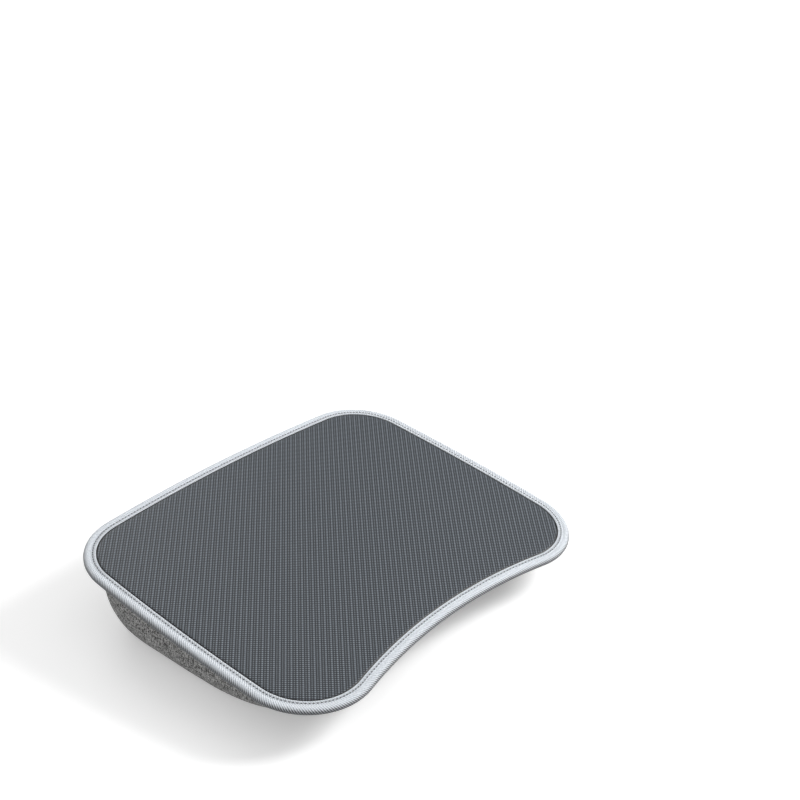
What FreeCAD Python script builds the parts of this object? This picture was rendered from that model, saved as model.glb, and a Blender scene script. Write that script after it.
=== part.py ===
import FreeCAD, Part
import math
import os

from FreeCAD import Placement, Rotation, Vector

# Lap tray: a stiff, bound tray on a soft cushion with a central valley, and a strap handle at the rear.
# The tray is drawn level in its own frame, with the seam of the cushion at z = 0 and the user at -Y.
# The cushion is deeper at the rear, so the finished tray leans towards the user when it stands.

SIZES = {
    # Outline of the tray, seen from above
    "tray_width": 440.0,
    "tray_depth": 352.0,
    "front_hollow": 18.0,
    "rear_corner": 70.0,
    "front_corner": 70.0,
    "side_radius": 2600.0,
    "rear_radius": 1800.0,
    # Layers of the tray, from the bottom up
    "cloth_thick": 0.6,
    "board_thick": 2.4,
    "padding_thick": 1.2,
    "sheet_thick": 0.8,
    "sheet_rise": 0.6,
    # Binding tape and its stitch row
    "tape_thick": 0.8,
    "edge_wall": 2.8,
    "edge_round": 3.0,
    "top_lip": 12.4,
    "bottom_lip": 10.0,
    "layer_gap": 0.2,
    "lip_gap": 0.3,
    "stitch_inset": 8.5,
    "thread_width": 0.8,
    "thread_depth": 0.5,
    # Cushion
    "lean_angle": 6.5,
    "seam_inset": 13.5,
    "crown_drop": 57.3,
    "side_run": 25.0,
    "side_bulge": 4.5,
    "rear_run": 60.0,
    "front_run": 92.0,
    "rear_fullness": 0.85,
    "front_fullness": 1.0,
    "valley_length": 172.0,
    "valley_width": 4.0,
    "valley_shift": 16.0,
    "valley_drop": 22.5,
    "cover_thick": 1.5,
    "filling_gap": 0.3,
    "rest_flat": 0.5,
    "tie_thick": 1.5,
    "tie_gap": 0.3,
    # Strap handle
    "handle_span": 160.0,
    "strap_width": 28.0,
    "strap_thick": 2.2,
    "strap_tab": 16.0,
    "strap_bow": 12.0,
    "core_thick": 0.9,
    "core_margin": 2.5,
    "core_gap": 0.1,
    "tail_thick": 1.6,
    "tail_drop": 3.0,
    "swing_gap": 0.4,
    "hem_margin": 2.0,
    "hem_width": 0.7,
    "hem_depth": 0.3,
}

# Rings of the cushion's surface: angles of the outer wall, then of the slope into the valley.
# The bow of a ring's edges is full at the seam, half at the crown and nearly none at the valley.
WALL_ANGLES = (0.0, 22.5, 45.0, 67.5, 90.0)
SLOPE_ANGLES = (30.0, 58.0, 78.0, 90.0)
CROWN_CURVE = 0.5
VALLEY_CURVE = 0.01
FAR = 1000.0

doc = FreeCAD.newDocument("lap_tray")
sheet = doc.addObject("Spreadsheet::Sheet", "sizes")
for row, (alias, value) in enumerate(SIZES.items(), start=1):
    sheet.set("A%d" % row, alias)
    sheet.set("B%d" % row, str(value))
    sheet.setAlias("B%d" % row, alias)
doc.recompute()


def size(alias):
    return float(sheet.get(alias))


lean = math.radians(size("lean_angle"))
seam_z = 0.0
board_z = seam_z + size("cloth_thick")
padding_z = board_z + size("board_thick")
sheet_z = padding_z + size("padding_thick")
margin_z = sheet_z + size("sheet_thick")
valley_y = -size("valley_shift")


# Outline: four large arcs joined by four corner arcs, all tangent


def toward(start, end, distance):
    step = end - start
    return start + step * (distance / step.Length)


def corner_center(side, side_reach, rear, rear_reach):
    # The crossing of two circles that lies furthest to +X and +Y
    line = rear - side
    along = (side_reach ** 2 - rear_reach ** 2 + line.Length ** 2) / (2 * line.Length)
    across = math.sqrt(side_reach ** 2 - along ** 2)
    base = toward(side, rear, along)
    normal = Vector(-line.y, line.x, 0) * (across / line.Length)
    return max(base + normal, base - normal, key=lambda point: point.x + point.y)


def arc(center, start, end):
    radius = (start - center).Length
    via = toward(center, (start + end) * 0.5, radius)
    return Part.Arc(start, via, end).toShape()


def mirrored(point):
    return Vector(-point.x, point.y, point.z)


def ring_wire(half_width, rear_y, front_y, hollow, rear_corner, front_corner, side_radius, rear_radius):
    # A closed ring with a hollow front edge; front_y is where its two front lobes end
    mid_y = (rear_y + front_y) / 2
    side = Vector(half_width - side_radius, mid_y, 0)
    rear = Vector(0, rear_y - rear_radius, 0)
    rear_knuckle = corner_center(side, side_radius - rear_corner, rear, rear_radius - rear_corner)
    lobe_y = front_y + front_corner
    lobe_reach = side_radius - front_corner
    lobe = Vector(side.x + math.sqrt(lobe_reach ** 2 - (lobe_y - mid_y) ** 2), lobe_y, 0)
    front_radius = (lobe.x ** 2 + hollow ** 2 - 2 * front_corner * hollow) / (2 * hollow)
    front = Vector(0, front_y + hollow - front_radius, 0)
    rear_end = toward(rear, rear_knuckle, rear_radius)
    side_top = toward(side, rear_knuckle, side_radius)
    side_low = toward(side, lobe, side_radius)
    front_end = toward(front, lobe, front_radius)
    edges = [
        arc(rear, mirrored(rear_end), rear_end),
        arc(rear_knuckle, rear_end, side_top),
        arc(side, side_top, side_low),
        arc(lobe, side_low, front_end),
        arc(front, front_end, mirrored(front_end)),
        arc(mirrored(lobe), mirrored(front_end), mirrored(side_low)),
        arc(mirrored(side), mirrored(side_low), mirrored(side_top)),
        arc(mirrored(rear_knuckle), mirrored(side_top), mirrored(rear_end)),
    ]
    return Part.Wire(edges)


def outline_wire(inset):
    return ring_wire(
        size("tray_width") / 2 - inset,
        size("tray_depth") / 2 - inset,
        -size("tray_depth") / 2 + inset,
        size("front_hollow"),
        size("rear_corner") - inset,
        size("front_corner") - inset,
        size("side_radius") - inset,
        size("rear_radius") - inset,
    )


def plate(name, inset, height, start_z):
    # An outline at the given inset, pushed up by a height that is bound to the sheet
    face = doc.addObject("Part::Feature", name + "_outline")
    face.Shape = Part.Face(outline_wire(inset))
    solid = doc.addObject("Part::Extrusion", name)
    solid.Base = face
    solid.DirMode = "Custom"
    solid.Dir = Vector(0, 0, 1)
    solid.Solid = True
    solid.setExpression("LengthFwd", height)
    face.Placement = Placement(Vector(0, 0, start_z), Rotation())
    return solid


def cut(name, base, tool):
    result = doc.addObject("Part::Cut", name)
    result.Base = base
    result.Tool = tool
    return result


def fuse(name, *shapes):
    result = doc.addObject("Part::MultiFuse", name)
    result.Shapes = list(shapes)
    return result


def feature(name, shape):
    result = doc.addObject("Part::Feature", name)
    result.Shape = shape
    return result


# Layers of the tray

layer_inset = size("edge_wall") + size("layer_gap")
window_inset = size("top_lip") + size("lip_gap")

base_cloth = plate("base_cloth", layer_inset, "sizes.cloth_thick", seam_z)
stiffener_board = plate("stiffener_board", layer_inset, "sizes.board_thick", board_z)
top_padding = plate("top_padding", layer_inset, "sizes.padding_thick", padding_z)
sheet_margin = plate("sheet_margin", layer_inset, "sizes.sheet_thick", sheet_z)
sheet_field = plate("sheet_field", window_inset, "sizes.sheet_thick + sizes.sheet_rise", sheet_z)
top_sheet = fuse("top_sheet", sheet_margin, sheet_field)


# Binding: a rounded rim, hollowed for the layers and open above and below

rim = plate(
    "rim",
    0.0,
    "2 * sizes.tape_thick + sizes.cloth_thick + sizes.board_thick + sizes.padding_thick + sizes.sheet_thick",
    seam_z - size("tape_thick"),
)
doc.recompute()
rim_round = doc.addObject("Part::Fillet", "rim_round")
rim_round.Base = rim
rim_height = margin_z - seam_z + 2 * size("tape_thick")
rim_radius = min(size("edge_round"), rim_height / 2 - size("layer_gap"))
flat_edges = [
    (index, rim_radius, rim_radius)
    for index, edge in enumerate(rim.Shape.Edges, start=1)
    if edge.BoundBox.ZLength < size("layer_gap")
]
rim_round.Edges = flat_edges
layer_room = plate(
    "layer_room",
    size("edge_wall"),
    "sizes.cloth_thick + sizes.board_thick + sizes.padding_thick + sizes.sheet_thick",
    seam_z,
)
top_window = plate("top_window", size("top_lip"), "2 * sizes.tape_thick", margin_z - size("tape_thick"))
bottom_window = plate("bottom_window", size("bottom_lip"), "2 * sizes.tape_thick", seam_z - size("tape_thick"))


def thread_ring(name, start_z):
    outer = plate(name + "_outer", size("stitch_inset"), "sizes.thread_depth", start_z)
    inner = plate(name + "_inner", size("stitch_inset") + size("thread_width"), "sizes.thread_depth", start_z)
    return cut(name, outer, inner)


needle_thread = thread_ring("needle_thread", margin_z + size("tape_thick") - size("thread_depth"))
bobbin_thread = thread_ring("bobbin_thread", seam_z - size("tape_thick"))
hollows = fuse("hollows", layer_room, top_window, bottom_window, needle_thread, bobbin_thread)
edge_binding = cut("edge_binding", rim_round, hollows)


# Cushion: rings swept out over the wall, the crown and the slope into the valley


def blend(first, second, share):
    return first + (second - first) * share


def drop_at(y, share):
    # Depth of the cushion below the seam at a given y
    return share * (size("crown_drop") + math.tan(lean) * y)


valley_share = size("valley_drop") / drop_at(valley_y, 1.0)


def cushion_ring(half_width, rear_y, front_y, curve, rear_corner, front_corner, share, lift):
    # A ring in a plane that leans with its share of the cushion's depth
    ring = ring_wire(
        half_width,
        rear_y,
        front_y,
        curve * size("front_hollow"),
        rear_corner,
        front_corner,
        size("side_radius") / curve,
        size("rear_radius") / curve,
    )
    slope = math.degrees(math.atan(share * math.tan(lean)))
    ring.rotate(Vector(), Vector(1, 0, 0), -slope)
    ring.translate(Vector(0, 0, lift - drop_at(0.0, share)))
    return ring


def cushion_solid(inside):
    # The cushion's space, drawn in by the given distance from its outer surface
    seam_half = size("tray_width") / 2 - size("seam_inset")
    seam_rear = size("tray_depth") / 2 - size("seam_inset")
    seam_rear_corner = size("rear_corner") - size("seam_inset")
    seam_front_corner = size("front_corner") - size("seam_inset")
    crown_half = seam_half - size("side_run")
    crown_rear = seam_rear - size("rear_run")
    crown_front = -seam_rear + size("front_run")
    crown_side = (crown_rear - crown_front) / 2
    slit_half = size("valley_length") / 2
    slit_side = size("valley_width") / 2
    rings = []
    for angle in WALL_ANGLES:
        across = 1 - math.cos(math.radians(angle))
        share = math.sin(math.radians(angle))
        bulge = math.sin(math.radians(2 * angle))
        inset = inside * (1 - across)
        rings.append(cushion_ring(
            blend(seam_half, crown_half, across) + size("side_bulge") * bulge - inset,
            blend(seam_rear, crown_rear, across) - inset,
            blend(-seam_rear, crown_front, across) + inset,
            blend(1.0, CROWN_CURVE, across),
            blend(seam_rear_corner, size("rear_fullness") * crown_side, share) - inset,
            blend(seam_front_corner, size("front_fullness") * crown_side, share) - inset,
            share,
            inside * share,
        ))
    for angle in SLOPE_ANGLES:
        across = math.sin(math.radians(angle))
        rise = math.cos(math.radians(angle))
        outset = inside * across
        rings.append(cushion_ring(
            blend(crown_half, slit_half, across) + outset,
            blend(crown_rear, valley_y + slit_side, across) + outset,
            blend(crown_front, valley_y - slit_side, across) - outset,
            blend(CROWN_CURVE, VALLEY_CURVE, across),
            size("rear_fullness") * blend(crown_side, slit_side, across) + outset,
            size("front_fullness") * blend(crown_side, slit_side, across) + outset,
            blend(valley_share, 1.0, rise),
            inside * (1 if angle == SLOPE_ANGLES[-1] else rise),
        ))
    return Part.makeLoft(rings, True, False)


def wedge(points):
    base = Part.Face(Part.makePolygon([Vector(x, y, -FAR / 2) for x, y in points + points[:1]]))
    return base.extrude(Vector(0, 0, FAR))


tray_rotation = Rotation(Vector(1, 0, 0), size("lean_angle"))
tray_lift = size("crown_drop") * math.cos(lean) - size("rest_flat")
tray_place = Placement(Vector(0, 0, tray_lift), tray_rotation)
below_rest = Part.makeBox(2 * FAR, 2 * FAR, FAR, Vector(-FAR, -FAR, -FAR))
below_rest.Placement = tray_place.inverse()

outer_space = cushion_solid(0.0).cut(below_rest)
cover_shell = outer_space.cut(cushion_solid(size("cover_thick")))

valley_right = (size("valley_length") / 2, valley_y)
valley_left = (-valley_right[0], valley_y)
corner_x = size("tray_width") / 2
corner_y = size("tray_depth") / 2


def seam_end(sign_x, sign_y):
    # Each mitre seam runs from an end of the valley through a corner of the tray
    start = Vector(sign_x * valley_right[0], valley_y, 0)
    end = toward(start, Vector(sign_x * corner_x, sign_y * corner_y, 0), FAR)
    return (end.x, end.y)


rear_left, rear_right = seam_end(-1, 1), seam_end(1, 1)
front_left, front_right = seam_end(-1, -1), seam_end(1, -1)
panel_wedges = {
    "cover_rear_panel": [valley_left, rear_left, rear_right, valley_right],
    "cover_front_panel": [valley_right, front_right, front_left, valley_left],
    "cover_left_panel": [valley_left, front_left, rear_left],
    "cover_right_panel": [valley_right, rear_right, front_right],
}
cover_panels = [feature(name, cover_shell.common(wedge(points))) for name, points in panel_wedges.items()]

tie_depth = size("valley_drop") - size("cover_thick") - size("tie_gap")
valley_tie = doc.addObject("Part::Box", "valley_tie")
valley_tie.setExpression("Length", "sizes.valley_length - 2 * sizes.valley_width")
valley_tie.setExpression("Width", "sizes.tie_thick")
valley_tie.setExpression("Height", "sizes.valley_drop - sizes.cover_thick - sizes.tie_gap")
tie_room = Part.makeBox(
    size("valley_length") - 2 * size("valley_width") + 2 * size("tie_gap"),
    size("tie_thick") + 2 * size("tie_gap"),
    tie_depth + 2 * size("tie_gap"),
    Vector(
        -size("valley_length") / 2 + size("valley_width") - size("tie_gap"),
        valley_y - size("tie_thick") / 2 - size("tie_gap"),
        -tie_depth - 2 * size("tie_gap"),
    ),
)
tie_corner = Vector(
    -size("valley_length") / 2 + size("valley_width"),
    valley_y - size("tie_thick") / 2,
    -tie_depth,
)
filling_space = cushion_solid(size("cover_thick") + size("filling_gap"))
cushion_filling = feature("cushion_filling", filling_space.cut(tie_room))


# Strap handle: hangs plumb from the rear seam. Its own frame has the swing axis along X at the origin.

half_span = size("handle_span") / 2
half_thick = size("strap_thick") / 2
tab_inner = half_span - size("strap_width")
band_top = -size("strap_tab")
band_low = band_top - size("strap_width")
bend_reach = tab_inner / 2
bend_rise = size("strap_bow") / 2
bend_radius = (bend_reach ** 2 + bend_rise ** 2) / (2 * bend_rise)


def band_edges(offset):
    # The band's line in plan, from +X to -X: straight, three tangent arcs that bow outwards, straight
    bend = Vector(tab_inner, bend_radius, 0)
    middle = Vector(0, size("strap_bow") - bend_radius, 0)
    outer = Vector(half_span, offset, 0)
    foot = Vector(tab_inner, offset, 0)
    joint = toward(middle, bend, bend_radius + offset)
    crest = Vector(0, size("strap_bow") + offset, 0)
    bend_via = toward(bend, (foot + joint) * 0.5, bend_radius - offset)
    return [
        Part.makeLine(outer, foot),
        Part.Arc(foot, bend_via, joint).toShape(),
        Part.Arc(joint, crest, mirrored(joint)).toShape(),
        Part.Arc(mirrored(joint), mirrored(bend_via), mirrored(foot)).toShape(),
        Part.makeLine(mirrored(foot), mirrored(outer)),
    ]


def band(low, high, margin, top, bottom):
    # A layer of the band between two offsets, trimmed to the fold lines at both ends
    ends = [
        Part.makeLine(Vector(half_span, low, 0), Vector(half_span, high, 0)),
        Part.makeLine(Vector(-half_span, low, 0), Vector(-half_span, high, 0)),
    ]
    outline = Part.Wire(Part.sortEdges(band_edges(low) + band_edges(high) + ends)[0])
    layer = Part.Face(outline).extrude(Vector(0, 0, bottom - top))
    layer.translate(Vector(0, 0, top))
    trim = margin * math.sqrt(2)
    corners = [
        Vector(-half_span + trim, -FAR, band_top),
        Vector(half_span - trim, -FAR, band_top),
        Vector(tab_inner - trim, -FAR, band_low),
        Vector(-tab_inner + trim, -FAR, band_low),
    ]
    fold = Part.Face(Part.makePolygon(corners + corners[:1])).extrude(Vector(0, 2 * FAR, 0))
    return layer.common(fold)


def tab(sign):
    # An end of the strap, from the swing axis down to the fold line
    corners = [
        Vector(sign * tab_inner, -half_thick, 0),
        Vector(sign * half_span, -half_thick, 0),
        Vector(sign * half_span, -half_thick, band_top),
        Vector(sign * tab_inner, -half_thick, band_low),
    ]
    return Part.Face(Part.makePolygon(corners + corners[:1])).extrude(Vector(0, size("strap_thick"), 0))


def core_layer(gap):
    centre = size("strap_thick")
    reach = size("core_thick") / 2 + gap
    margin = size("core_margin") - gap
    return band(centre - reach, centre + reach, margin, band_top - margin, band_low + margin)


def hem_line(top):
    outer = 3 * half_thick
    return band(outer - size("hem_depth"), outer, size("hem_margin"), top, top - size("hem_width"))


tab_shapes = [feature("tab_right", tab(1)), feature("tab_left", tab(-1))]
root_shapes = []
for name, start_x in (("root_right", tab_inner), ("root_left", -half_span)):
    root = doc.addObject("Part::Cylinder", name)
    root.setExpression("Radius", "sizes.strap_thick / 2")
    root.setExpression("Height", "sizes.strap_width")
    root.Placement = Placement(Vector(start_x, 0, 0), Rotation(Vector(0, 1, 0), 90))
    root_shapes.append(root)
strap_band = feature("strap_band", band(half_thick, 3 * half_thick, 0.0, band_top, band_low))
strap_body = fuse("strap_body", strap_band, *tab_shapes, *root_shapes)
hem_lines = [
    hem_line(band_top - size("hem_margin")),
    hem_line(band_low + size("hem_margin") + size("hem_width")),
]
handle_thread = feature("handle_thread", Part.makeCompound(hem_lines))
handle_core = feature("handle_core", core_layer(0.0))
core_room = feature("core_room", core_layer(size("core_gap")))
strap_hollows = fuse("strap_hollows", core_room, handle_thread)
handle_sleeve = cut("handle_sleeve", strap_body, strap_hollows)

# The strap's tails stand in the gap between the binding's lower lip and the cover


def rear_edge(x, inset):
    radius = size("rear_radius") - inset
    return size("tray_depth") / 2 - inset - radius + math.sqrt(radius ** 2 - x ** 2)


tail_y = (rear_edge(half_span, size("bottom_lip")) + rear_edge(tab_inner, size("seam_inset"))) / 2
axis_point = Vector(0, tail_y, seam_z - size("tail_drop") - size("swing_gap") - half_thick)
tail_boxes = []
for name, start_x in (("tail_right", tab_inner), ("tail_left", -half_span)):
    tail = doc.addObject("Part::Box", name)
    tail.setExpression("Length", "sizes.strap_width")
    tail.setExpression("Width", "sizes.tail_thick")
    tail.setExpression("Height", "sizes.tail_drop")
    tail.Placement = Placement(
        Vector(start_x, tail_y - size("tail_thick") / 2, seam_z - size("tail_drop")), Rotation()
    )
    tail_boxes.append(tail)
handle_tails = doc.addObject("Part::Compound", "handle_tails")
handle_tails.Links = tail_boxes

# Places: the tray's pieces lean with the tray, the strap hangs plumb from its axis

tray_parts = [
    base_cloth,
    stiffener_board,
    top_padding,
    top_sheet,
    edge_binding,
    needle_thread,
    bobbin_thread,
    cushion_filling,
    valley_tie,
    handle_tails,
] + cover_panels
handle_parts = [handle_sleeve, handle_core, handle_thread]
doc.recompute()


def place_all(shift_y):
    tray = Placement(Vector(0, shift_y, tray_lift), tray_rotation)
    for piece in tray_parts:
        piece.Placement = tray
    valley_tie.Placement = tray.multiply(Placement(tie_corner, Rotation()))
    for piece in handle_parts:
        piece.Placement = Placement(tray.multVec(axis_point), Rotation())


place_all(0.0)
reach_y = [
    (box.YMin, box.YMax)
    for box in (piece.Shape.optimalBoundingBox(True, False) for piece in (edge_binding, handle_sleeve))
]
place_all(-(min(low for low, high in reach_y) + max(high for low, high in reach_y)) / 2)

for item in doc.Objects:
    if "Invalid" in item.State or "Error" in item.State:
        raise RuntimeError("%s failed: %s" % (item.Label, item.State))
os.makedirs("parts", exist_ok=True)
for piece in tray_parts + handle_parts:
    if piece.Shape.isNull() or not piece.Shape.isValid():
        raise RuntimeError("%s has no valid shape" % piece.Label)
for piece in tray_parts + handle_parts:
    piece.Shape.exportStep("parts/%s.step" % piece.Label)
print("swing axis at", handle_sleeve.Placement.Base)
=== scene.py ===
import math

import bmesh
import bpy
import numpy as np
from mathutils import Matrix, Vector, noise


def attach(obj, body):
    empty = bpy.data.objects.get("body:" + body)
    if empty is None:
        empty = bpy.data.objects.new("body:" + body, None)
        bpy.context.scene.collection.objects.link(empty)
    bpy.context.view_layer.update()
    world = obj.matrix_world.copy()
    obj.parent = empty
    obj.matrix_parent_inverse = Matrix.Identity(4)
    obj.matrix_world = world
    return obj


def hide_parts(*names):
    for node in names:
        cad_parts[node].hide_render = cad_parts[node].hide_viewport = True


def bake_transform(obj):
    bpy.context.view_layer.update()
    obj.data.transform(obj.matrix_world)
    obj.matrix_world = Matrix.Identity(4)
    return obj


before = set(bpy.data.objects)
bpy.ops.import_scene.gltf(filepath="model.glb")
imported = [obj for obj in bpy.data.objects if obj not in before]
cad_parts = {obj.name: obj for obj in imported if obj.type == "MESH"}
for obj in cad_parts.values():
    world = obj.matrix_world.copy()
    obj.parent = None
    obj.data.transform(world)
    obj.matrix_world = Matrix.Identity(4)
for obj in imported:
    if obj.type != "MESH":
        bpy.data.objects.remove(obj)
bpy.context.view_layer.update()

# Sizes are in millimetres in the tray's own frame: seam of the cushion at z = 0, user at -Y.
# Materials, lamps and the camera are in metres in the row frame.
MM = 0.001

# Place and outline of the tray
LEAN = math.radians(6.5)
LIFT = 56.432
SHIFT_Y = -1.2665
HALF_WIDTH = 220.0
HALF_DEPTH = 176.0
FRONT_HOLLOW = 18.0
CORNER = 70.0
SIDE_RADIUS = 2600.0
REAR_RADIUS = 1800.0

# Binding tape, its profile as inset and height, and its two rows of stitches
PERIMETER_STEPS = 1404
STEPS_PER_STITCH = 4
TAPE_PROFILE = [
    (12.40, 4.55), (12.48, 5.05), (12.38, 5.45), (12.00, 5.72), (11.45, 5.84), (10.85, 5.82),
    (10.20, 5.76), (9.55, 5.82), (8.90, 5.82), (8.30, 5.70), (7.75, 5.42), (7.35, 5.18),
    (6.95, 5.22), (6.50, 5.50), (5.90, 5.84), (5.20, 6.04), (4.45, 6.10), (3.65, 6.00),
    (2.85, 5.72), (2.10, 5.26), (1.40, 4.64), (0.80, 3.86), (0.36, 2.96), (0.14, 2.00),
    (0.20, 1.10), (0.52, 0.34), (1.10, -0.28), (1.90, -0.68), (2.85, -0.88), (3.85, -0.92),
    (4.85, -0.84), (5.70, -0.66), (6.30, -0.50), (6.90, -0.66), (7.60, -0.82), (8.30, -0.86),
    (9.10, -0.84), (9.85, -0.80), (10.35, -0.62), (10.62, -0.30), (10.70, 0.00),
]
TOP_LIP_ABOVE = 3.0
TOP_STITCH_INSET, TOP_STITCH_HEIGHT = 9.2, 5.66
LOW_STITCH_INSET, LOW_STITCH_HEIGHT = 8.6, -0.76
STITCH_LENGTH, STITCH_RADIUS = 1.9, 0.58
HOLE_SHADE, HOLE_REACH = 0.3, 0.75
HOLE_DEPTH, PULL_DEPTH, PULL_REACH = 0.45, 0.2, 1.1
RIPPLE_RISE, RIPPLE_PER_MM, RIPPLE_SEED = 0.22, 0.045, 3.0
RIPPLE_INSET, RIPPLE_REACH = 5.0, 4.0

# Top sheet, its rings as inset, height and share of the painted shade line beside the binding, in
# the recess under its lip
SHEET_STEPS = 468
SHEET_RINGS = [
    (11.6, 4.30, 1.0), (12.5, 4.30, 1.0), (13.0, 4.44, 1.0), (13.5, 4.86, 0.9),
    (14.2, 5.24, 0.25), (15.6, 5.48, 0.0), (18.5, 5.60, 0.0),
]

# Ribs of the top sheet, in metres
RIB_PITCH = 0.0052
RIB_RISE = 0.0002
DOT_PITCH = 0.0026
CUTS_PER_RIB = 6
CROSS_CUT_PITCH = 0.04
CUT_TOLERANCE = 1e-7

# Cushion
SEAM_INSET = 13.2
CROWN_DROP = 57.3
SIDE_RUN = 25.0
SIDE_BULGE = 4.5
REAR_RUN = 60.0
FRONT_RUN = 92.0
REAR_FULLNESS = 0.85
FRONT_FULLNESS = 1.0
CROWN_CURVE = 0.5
VALLEY_CURVE = 0.01
VALLEY_HALF = 86.0
VALLEY_SIDE = 2.0
VALLEY_Y = -16.0
VALLEY_DROP = 22.5
VALLEY_SHARE = VALLEY_DROP / (CROWN_DROP + math.tan(LEAN) * VALLEY_Y)
PANELS = ("cover_rear_panel", "cover_right_panel", "cover_front_panel", "cover_left_panel")
MITRES = ((-1, 1), (1, 1), (1, -1), (-1, -1))

# Strap handle, in a frame whose origin is the swing axis
AXIS = np.array([0.0, 161.1719, 70.4101])
HALF_SPAN = 80.0
STRAP_WIDTH = 28.0
TAB_INNER = HALF_SPAN - STRAP_WIDTH
BAND_TOP = -16.0
BAND_LOW = BAND_TOP - STRAP_WIDTH
STRAP_THICK = 2.2
STRAP_BOW = 12.0


# Short calls


def to_row(points):
    # From the tray's frame in millimetres to the row frame in metres
    p = np.asarray(points, float).reshape(-1, 3)
    cos, sin = math.cos(LEAN), math.sin(LEAN)
    y = p[:, 1] * cos - p[:, 2] * sin + SHIFT_Y
    z = p[:, 1] * sin + p[:, 2] * cos + LIFT
    return np.column_stack([p[:, 0], y, z]) * MM


def to_tray(points):
    # From the row frame in metres to the tray's frame in millimetres
    p = np.asarray(points, float).reshape(-1, 3) / MM
    cos, sin = math.cos(LEAN), math.sin(LEAN)
    y, z = p[:, 1] - SHIFT_Y, p[:, 2] - LIFT
    return np.column_stack([p[:, 0], y * cos + z * sin, -y * sin + z * cos])


def lerp(first, second, share):
    return first + (second - first) * share


def hump(distance, reach):
    # 1 where the distance is 0, falling off smoothly over the reach
    return np.exp(-(distance / reach) ** 2)


def run_lengths(points):
    # Distance travelled at each point of a line
    steps = np.linalg.norm(np.diff(points, axis=0), axis=1)
    return np.concatenate([[0.0], np.cumsum(steps)])


# Rings: eight tangent arcs, traced clockwise from the left end of the rear edge


def toward(start, end, distance):
    step = end - start
    return start + step * (distance / np.linalg.norm(step))


def ring_arcs(
    half_width, rear_y, front_y, hollow, rear_corner, front_corner, side_radius, rear_radius
):
    mid_y = (rear_y + front_y) / 2
    side = np.array([half_width - side_radius, mid_y])
    rear = np.array([0.0, rear_y - rear_radius])
    line = rear - side
    span = np.linalg.norm(line)
    side_reach, rear_reach = side_radius - rear_corner, rear_radius - rear_corner
    along = (side_reach ** 2 - rear_reach ** 2 + span ** 2) / (2 * span)
    across = math.sqrt(side_reach ** 2 - along ** 2)
    normal = np.array([-line[1], line[0]]) * (across / span)
    base = toward(side, rear, along)
    knuckle = max(base + normal, base - normal, key=lambda point: point.sum())
    lobe_y = front_y + front_corner
    lobe_x = side[0] + math.sqrt((side_radius - front_corner) ** 2 - (lobe_y - mid_y) ** 2)
    lobe = np.array([lobe_x, lobe_y])
    front_radius = (lobe_x ** 2 + hollow ** 2 - 2 * front_corner * hollow) / (2 * hollow)
    front = np.array([0.0, front_y + hollow - front_radius])
    rear_end = toward(rear, knuckle, rear_radius)
    side_top = toward(side, knuckle, side_radius)
    side_low = toward(side, lobe, side_radius)
    front_end = toward(front, lobe, front_radius)
    flip = np.array([-1.0, 1.0])
    runs = [
        (rear, rear_end * flip, rear_end, 1),
        (knuckle, rear_end, side_top, 1),
        (side, side_top, side_low, 1),
        (lobe, side_low, front_end, 1),
        (front, front_end, front_end * flip, -1),
        (lobe * flip, front_end * flip, side_low * flip, 1),
        (side * flip, side_low * flip, side_top * flip, 1),
        (knuckle * flip, side_top * flip, rear_end * flip, 1),
    ]
    centers, radii, starts, turns, signs = [], [], [], [], []
    for center, start, end, sign in runs:
        first = math.atan2(*(start - center)[::-1])
        last = math.atan2(*(end - center)[::-1])
        centers.append(center)
        radii.append(np.linalg.norm(start - center))
        starts.append(first)
        turns.append((last - first + math.pi) % (2 * math.pi) - math.pi)
        signs.append(sign)
    radii, turns = np.array(radii), np.array(turns)
    ends = np.cumsum(radii * abs(turns))
    return np.array(centers), radii, np.array(starts), turns, np.array(signs, float), ends


def trace(arcs, along):
    # Points and outward normals at the given distances along a ring
    centers, radii, starts, turns, signs, ends = arcs
    along = np.mod(along, ends[-1])
    index = np.minimum(np.searchsorted(ends, along, side="right"), len(ends) - 1)
    begin = np.concatenate([[0.0], ends[:-1]])[index]
    angle = starts[index] + np.sign(turns[index]) * (along - begin) / radii[index]
    radial = np.column_stack([np.cos(angle), np.sin(angle)])
    return centers[index] + radii[index][:, None] * radial, signs[index][:, None] * radial


def ring_length(arcs):
    return arcs[-1][-1]


# Meshes


def link_object(name, data):
    obj = bpy.data.objects.new(name, data)
    bpy.context.scene.collection.objects.link(obj)
    return obj


def make_object(name, points, faces, uv=None):
    mesh = bpy.data.meshes.new(name)
    corners = [tuple(int(i) for i in face) for face in faces]
    mesh.from_pydata([tuple(p) for p in points], [], corners)
    if uv is not None:
        layer = mesh.uv_layers.new(name="weave")
        layer.data.foreach_set("uv", np.asarray(uv, np.float32).ravel())
    mesh.polygons.foreach_set("use_smooth", [True] * len(mesh.polygons))
    mesh.update()
    return link_object(name, mesh)


def grid_faces(rows, cols, wrap_rows=False):
    # Quads of a grid stored row by row, and the (row, col) of each corner for texture coordinates
    last = rows if wrap_rows else rows - 1
    r, c = np.meshgrid(np.arange(last), np.arange(cols - 1), indexing="ij")
    r, c = r.ravel(), c.ravel()
    corners = [(r, c), (r + 1, c), (r + 1, c + 1), (r, c + 1)]
    faces = np.column_stack([(a % rows) * cols + b for a, b in corners])
    places = np.stack([np.column_stack([a, b]) for a, b in corners], axis=1)
    return faces, places


def divide_once(obj):
    finer = obj.modifiers.new("finer", "SUBSURF")
    finer.levels = finer.render_levels = 1


def apply_modifiers(obj):
    graph = bpy.context.evaluated_depsgraph_get()
    mesh = bpy.data.meshes.new_from_object(
        obj.evaluated_get(graph), preserve_all_data_layers=True, depsgraph=graph
    )
    old = obj.data
    obj.modifiers.clear()
    obj.data = mesh
    mesh.name = obj.name
    bpy.data.meshes.remove(old)


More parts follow.
